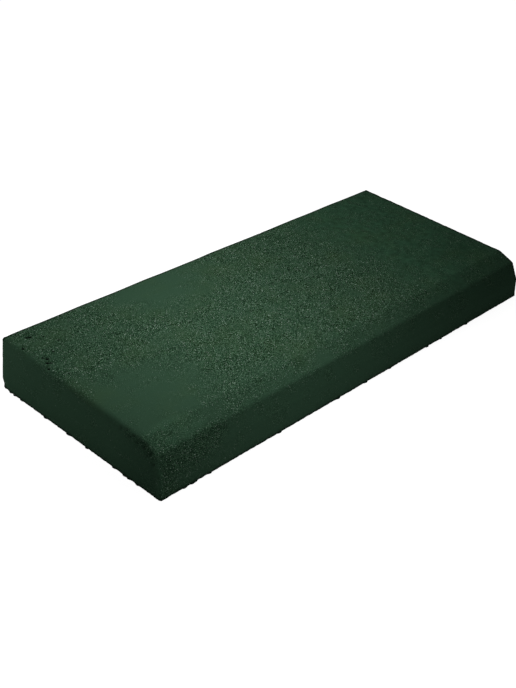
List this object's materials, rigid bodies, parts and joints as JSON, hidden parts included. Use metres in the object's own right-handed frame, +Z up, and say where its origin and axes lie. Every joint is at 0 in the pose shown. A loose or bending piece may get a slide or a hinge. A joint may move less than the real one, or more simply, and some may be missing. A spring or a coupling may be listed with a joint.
{
  "type": "concrete kerb stone",
  "caption": "Straight cast concrete kerb stone with a bevelled crown edge and a tapered section, lying flat, for edging a path, lawn or flower bed.",
  "frame": {"origin": "centre of the bounding box in plan, on the floor the stone lies on", "axes": "+X along the stone, -Y towards the bevelled crown and +Y towards the foot, +Z up out of the face"},
  "size_m": [0.5, 0.21, 0.05],
  "materials": {
    "concrete": "matte, green pigment, fine sand grain"
  },
  "bodies": {
    "root": {"kerb_stone": "concrete"}
  },
  "joints": []
}
